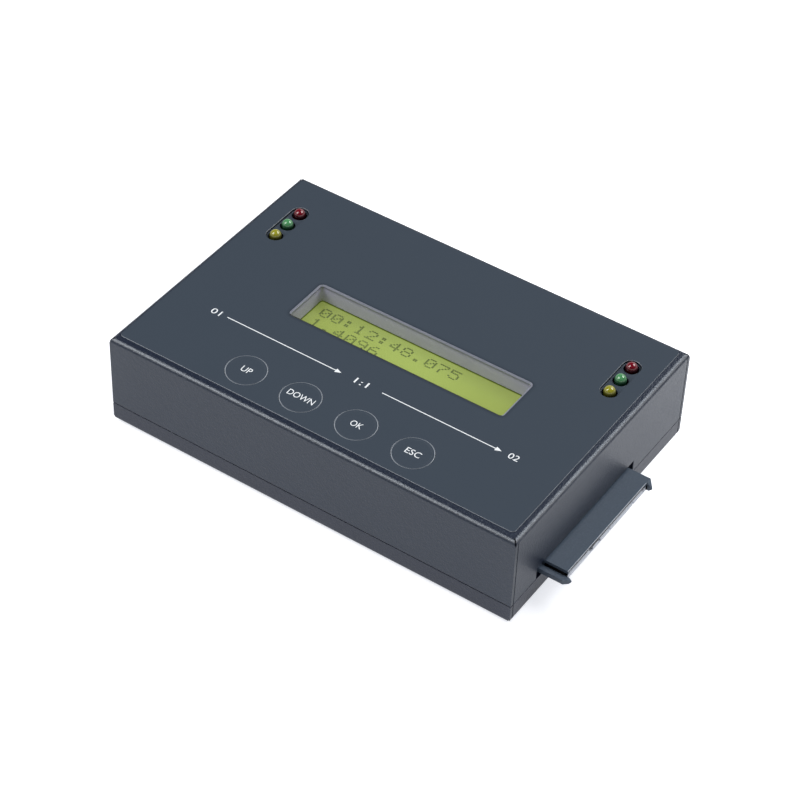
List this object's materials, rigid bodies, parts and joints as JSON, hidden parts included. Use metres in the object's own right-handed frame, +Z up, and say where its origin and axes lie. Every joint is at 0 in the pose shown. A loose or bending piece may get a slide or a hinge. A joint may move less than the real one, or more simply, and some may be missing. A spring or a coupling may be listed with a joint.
{
  "type": "drive duplicator",
  "caption": "Small steel box that copies one drive to another: display, keypad, rows of indicator lamps and a drive port on each end.",
  "frame": {"origin": "on the surface it stands on, under the middle of the bounding box", "axes": "+X towards the end with the target port, -Y towards the front edge with the keys, +Z up"},
  "size_m": [0.1288, 0.0834, 0.0282],
  "materials": {
    "cover_powder_coat": "fine sand-texture powder coat, grey blue",
    "tray_powder_coat": "fine sand-texture powder coat, grey blue",
    "printed_film": "slate blue-grey printed polyester film, satin",
    "key_film": "embossed polyester film, satin",
    "clear_window": "clear polycarbonate",
    "frame_plastic": "light grey moulded plastic",
    "lcd_green_glass": "yellow-green liquid crystal glass, back-lit",
    "light_guide": "milky acrylic",
    "strip_rubber": "silicone rubber",
    "black_steel": "black painted steel",
    "circuit_board": "green solder-masked laminate",
    "zinc_steel": "bright zinc plate",
    "spring_steel": "stainless spring steel",
    "connector_steel": "nickel-plated steel",
    "dark_screw_steel": "black oxide",
    "tinned_lead": "tin plate",
    "gold_contact": "gold-flashed copper alloy",
    "black_plastic": "black moulded plastic",
    "switch_plastic": "black moulded plastic, polished",
    "port_plastic": "dark blue-grey glass-filled nylon",
    "chip_resin": "moulded epoxy",
    "ferrite": "ferrite",
    "can_aluminium": "satin can",
    "foot_rubber": "moulded rubber",
    "yellow_lamp": "tinted clear epoxy",
    "green_lamp": "tinted clear epoxy",
    "red_lamp": "tinted clear epoxy",
    "print_white": "white screen print",
    "display_ink": "dark liquid crystal cells"
  },
  "bodies": {
    "case": {"board_screws": "zinc_steel", "board_standoffs": "zinc_steel", "bottom_tray": "tray_powder_coat", "bulk_capacitors": "can_aluminium", "buzzer": "black_plastic", "case_screws": "dark_screw_steel", "clock_crystal": "zinc_steel", "controller_chip": "chip_resin", "corner_posts": "zinc_steel", "dc_jack": "black_plastic", "dc_jack_pin": "zinc_steel", "display_frame": "frame_plastic", "display_lens": "clear_window", "green_leds": "green_lamp", "header_pins": "tinned_lead", "header_socket": "black_plastic", "jack_screws": "connector_steel", "lcd_backlight": "light_guide", "lcd_bezel": "black_steel", "lcd_board": "circuit_board", "lcd_contact_strips": "strip_rubber", "lcd_glass": "lcd_green_glass", "lcd_header": "black_plastic", "lcd_screws": "zinc_steel", "lcd_spacers": "zinc_steel", "led_holders": "black_plastic", "led_leads": "tinned_lead", "main_board": "circuit_board", "memory_chips": "chip_resin", "panel_board": "circuit_board", "panel_overlay": "printed_film", "panel_screws": "zinc_steel", "panel_standoffs": "zinc_steel", "power_inductors": "ferrite", "power_regulators": "chip_resin", "red_leds": "red_lamp", "rocker_housing": "black_plastic", "rubber_feet": "foot_rubber", "serial_contacts": "gold_contact", "serial_insulator": "black_plastic", "serial_shell": "connector_steel", "source_port_contacts": "gold_contact", "source_port_housing": "port_plastic", "switch_domes": "spring_steel", "switch_frames": "zinc_steel", "switch_housings": "black_plastic", "target_port_contacts": "gold_contact", "target_port_housing": "port_plastic", "top_cover": "cover_powder_coat", "yellow_leds": "yellow_lamp"},
    "up_key": {"key_up": "key_film", "up_switch_stem": "black_plastic"},
    "down_key": {"key_down": "key_film", "down_switch_stem": "black_plastic"},
    "ok_key": {"key_ok": "key_film", "ok_switch_stem": "black_plastic"},
    "esc_key": {"key_esc": "key_film", "esc_switch_stem": "black_plastic"},
    "rocker": {"power_rocker": "switch_plastic"}
  },
  "joints": [
    {"name": "press_up", "type": "slide", "parent": "case", "child": "up_key", "axis": [0, 0, -1], "range_m": [0, 0.0003], "stiffness_N_per_m": 2000, "springref_m": -0.0002},
    {"name": "press_down", "type": "slide", "parent": "case", "child": "down_key", "axis": [0, 0, -1], "range_m": [0, 0.0003], "stiffness_N_per_m": 2000, "springref_m": -0.0002},
    {"name": "press_ok", "type": "slide", "parent": "case", "child": "ok_key", "axis": [0, 0, -1], "range_m": [0, 0.0003], "stiffness_N_per_m": 2000, "springref_m": -0.0002},
    {"name": "press_esc", "type": "slide", "parent": "case", "child": "esc_key", "axis": [0, 0, -1], "range_m": [0, 0.0003], "stiffness_N_per_m": 2000, "springref_m": -0.0002},
    {"name": "power_rocker_tilt", "type": "hinge", "parent": "case", "child": "rocker", "pos_m": [0.013, 0.03505, 0.0107], "axis": [0, 0, 1], "range_deg": [-20, 0]}
  ]
}
